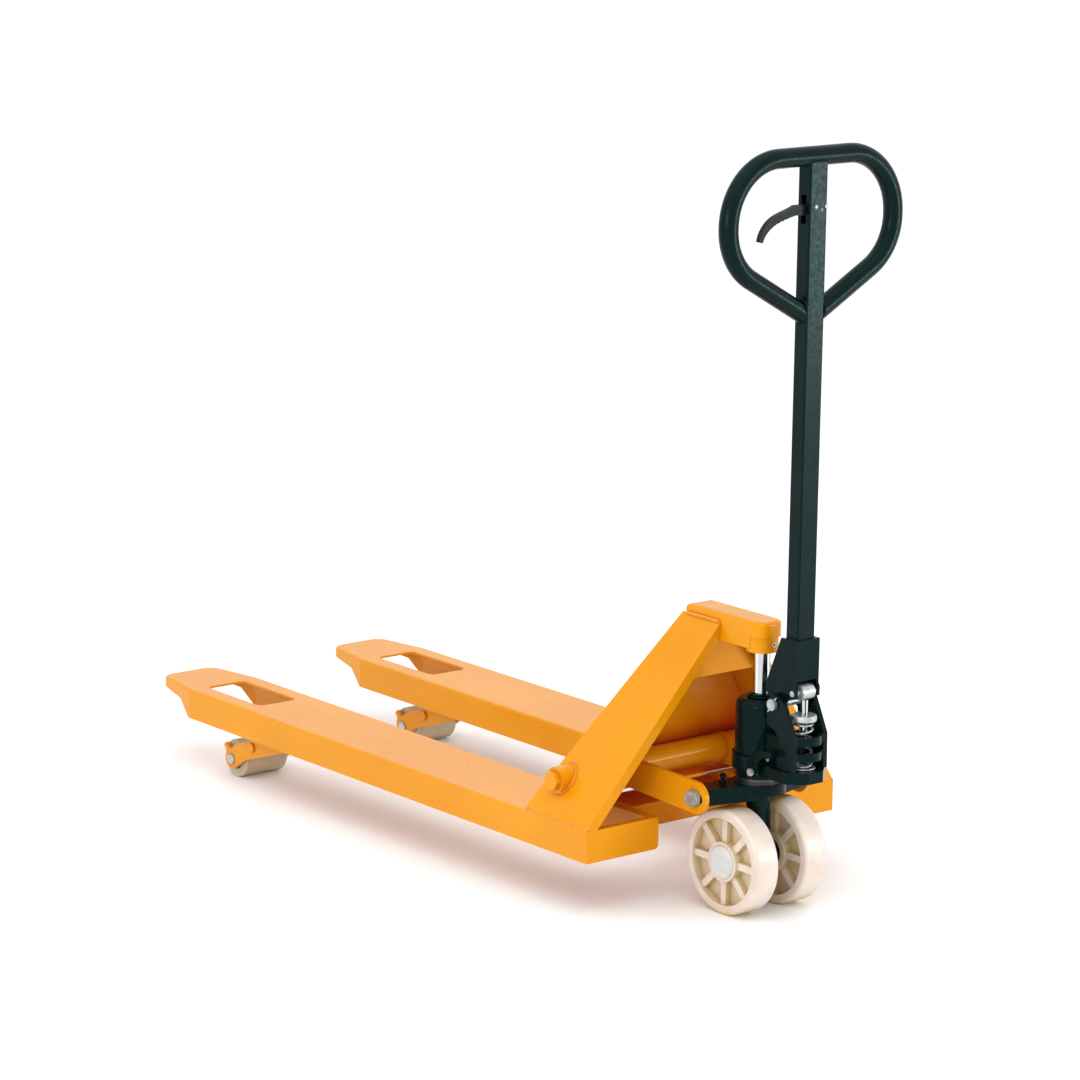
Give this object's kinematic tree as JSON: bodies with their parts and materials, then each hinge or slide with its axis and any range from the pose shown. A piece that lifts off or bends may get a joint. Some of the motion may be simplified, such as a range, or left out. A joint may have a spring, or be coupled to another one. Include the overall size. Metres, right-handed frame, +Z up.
{
  "type": "pallet jack",
  "caption": "Hand pallet jack: two long forks lifted by a steered hydraulic pump, with load rollers, steer wheels and an upright draw handle with a hand loop.",
  "frame": {"origin": "on the floor, under the middle of the whole object's box", "axes": "+Y towards the fork tips, +X to the right of an operator who faces the forks, +Z up"},
  "size_m": [0.55, 1.535, 1.281],
  "materials": {
    "orange_paint": "gloss powder coat",
    "black_paint": "satin black enamel",
    "chrome": "hard chromed and ground",
    "zinc_steel": "zinc plated",
    "cream_nylon": "moulded nylon",
    "tan_nylon": "moulded nylon",
    "white_plastic": "moulded",
    "black_plastic": "fine grain"
  },
  "bodies": {
    "fork_frame": {"left_fork": "orange_paint", "right_fork": "orange_paint", "left_fork_heel": "orange_paint", "right_fork_heel": "orange_paint", "left_leg": "orange_paint", "right_leg": "orange_paint", "fork_rails": "orange_paint", "carrier_pins": "zinc_steel", "front_plate": "orange_paint", "head_web": "orange_paint", "rear_crossplate": "orange_paint", "trunnion_pins": "orange_paint", "lift_head": "orange_paint", "head_screw": "zinc_steel", "lift_ram": "chrome"},
    "base": {"thrust_plate": "black_paint", "ear_bolts": "zinc_steel", "stop_stud": "black_paint", "thrust_bearing": "zinc_steel"},
    "steering": {"steering_post": "black_paint", "wheel_axle": "zinc_steel", "pump_base": "black_paint", "reservoir": "black_paint", "pump_cheeks": "black_paint", "handle_pivot_pin": "zinc_steel", "pivot_split_pin": "zinc_steel", "release_bolt": "zinc_steel", "plunger_spring": "zinc_steel"},
    "left_wheel": {"left_steer_wheel": "cream_nylon", "left_wheel_bearings": "zinc_steel", "left_wheel_cap": "white_plastic"},
    "right_wheel": {"right_steer_wheel": "cream_nylon", "right_wheel_bearings": "zinc_steel", "right_wheel_cap": "white_plastic"},
    "release_lever": {"release_lever": "black_paint"},
    "plunger": {"plunger_rod": "chrome", "spring_cap": "zinc_steel"},
    "handle": {"handle_bracket": "black_paint", "pump_roller_pin": "zinc_steel", "hand_loop": "black_paint", "handle_tube": "black_paint", "grip_pin": "zinc_steel"},
    "pump_roller": {"pump_roller": "zinc_steel"},
    "grip_lever": {"grip_lever": "black_plastic"},
    "pull_rod": {"pull_rod": "zinc_steel"},
    "rocker": {"torsion_tube": "orange_paint", "rocker_arms": "orange_paint", "rod_levers": "orange_paint", "lever_pins": "zinc_steel"},
    "left_push_rod": {"left_push_rod": "orange_paint"},
    "right_push_rod": {"right_push_rod": "orange_paint"},
    "left_carrier": {"left_roller_carrier": "orange_paint", "left_roller_axle": "zinc_steel"},
    "right_carrier": {"right_roller_carrier": "orange_paint", "right_roller_axle": "zinc_steel"},
    "left_roller": {"left_load_roller": "tan_nylon", "left_roller_bearings": "zinc_steel"},
    "right_roller": {"right_load_roller": "tan_nylon", "right_roller_bearings": "zinc_steel"}
  },
  "joints": [
    {"name": "lift", "type": "slide", "parent": "fork_frame", "child": "base", "axis": [0, 0, -1], "range_m": [-0.0635, 0.0515]},
    {"name": "rocker_turn", "type": "hinge", "parent": "fork_frame", "child": "rocker", "pos_m": [0, -0.4035, 0.208], "axis": [1, 0, 0], "range_deg": [-18.5, 15]},
    {"name": "steer", "type": "hinge", "parent": "base", "child": "steering", "pos_m": [0, -0.6295, 0.2], "axis": [0, 0, 1], "range_deg": [-100, 100]},
    {"name": "handle_tilt", "type": "hinge", "parent": "steering", "child": "handle", "pos_m": [0, -0.7025, 0.3685], "axis": [1, 0, 0], "range_deg": [0, 80], "stiffness_Nm_per_rad": 25, "springref_deg": -5.73},
    {"name": "plunger_slide", "type": "slide", "parent": "steering", "child": "plunger", "axis": [0, 0, -1], "range_m": [0, 0.053], "deforming": ["plunger_spring"]},
    {"name": "pump_roller_turn", "type": "hinge", "parent": "handle", "child": "pump_roller", "pos_m": [0, -0.7345, 0.391], "axis": [1, 0, 0], "continuous": true},
    {"name": "grip_squeeze", "type": "hinge", "parent": "handle", "child": "grip_lever", "pos_m": [0.008, -0.7205, 1.18], "axis": [0, 1, 0], "range_deg": [-8, 12], "stiffness_Nm_per_rad": 1.5},
    {"name": "pull_rod_slide", "type": "slide", "parent": "handle", "child": "pull_rod", "axis": [0, 0, 1], "range_m": [-0.0021, 0.0031], "stiffness_N_per_m": 100, "springref_m": 0.0108},
    {"name": "release_turn", "type": "hinge", "parent": "steering", "child": "release_lever", "pos_m": [-0.051, -0.6735, 0.251], "axis": [-1, 0, 0], "range_deg": [-6, 8.5]},
    {"name": "left_wheel_turn", "type": "hinge", "parent": "steering", "child": "left_wheel", "pos_m": [-0.054, -0.6295, 0.09], "axis": [1, 0, 0], "continuous": true},
    {"name": "left_rod_slide", "type": "slide", "parent": "fork_frame", "child": "left_push_rod", "axis": [0, 1, 0], "range_m": [-0.0142, 0.0116]},
    {"name": "left_carrier_turn", "type": "hinge", "parent": "fork_frame", "child": "left_carrier", "pos_m": [-0.1975, 0.3705, 0.097], "axis": [1, 0, 0], "range_deg": [-18.3, 22.5]},
    {"name": "left_roller_turn", "type": "hinge", "parent": "left_carrier", "child": "left_roller", "pos_m": [-0.1975, 0.5385, 0.035], "axis": [1, 0, 0], "continuous": true},
    {"name": "right_wheel_turn", "type": "hinge", "parent": "steering", "child": "right_wheel", "pos_m": [0.054, -0.6295, 0.09], "axis": [1, 0, 0], "continuous": true},
    {"name": "right_rod_slide", "type": "slide", "parent": "fork_frame", "child": "right_push_rod", "axis": [0, 1, 0], "range_m": [-0.0142, 0.0116]},
    {"name": "right_carrier_turn", "type": "hinge", "parent": "fork_frame", "child": "right_carrier", "pos_m": [0.1975, 0.3705, 0.097], "axis": [1, 0, 0], "range_deg": [-18.3, 22.5]},
    {"name": "right_roller_turn", "type": "hinge", "parent": "right_carrier", "child": "right_roller", "pos_m": [0.1975, 0.5385, 0.035], "axis": [1, 0, 0], "continuous": true}
  ],
  "couplings": [
    {"joint": "rocker_turn", "follows": "lift", "rad_per_m": 4.87},
    {"joint": "left_rod_slide", "follows": "lift", "ratio": 0.2187},
    {"joint": "right_rod_slide", "follows": "lift", "ratio": 0.2187},
    {"joint": "left_carrier_turn", "follows": "lift", "rad_per_m": -6.06},
    {"joint": "right_carrier_turn", "follows": "lift", "rad_per_m": -6.06},
    {"joint": "plunger_slide", "follows": "handle_tilt", "m_per_rad": 0.0375},
    {"joint": "pull_rod_slide", "follows": "grip_squeeze", "m_per_rad": 0.014},
    {"joint": "release_turn", "follows": "grip_squeeze", "ratio": 0.6667}
  ]
}
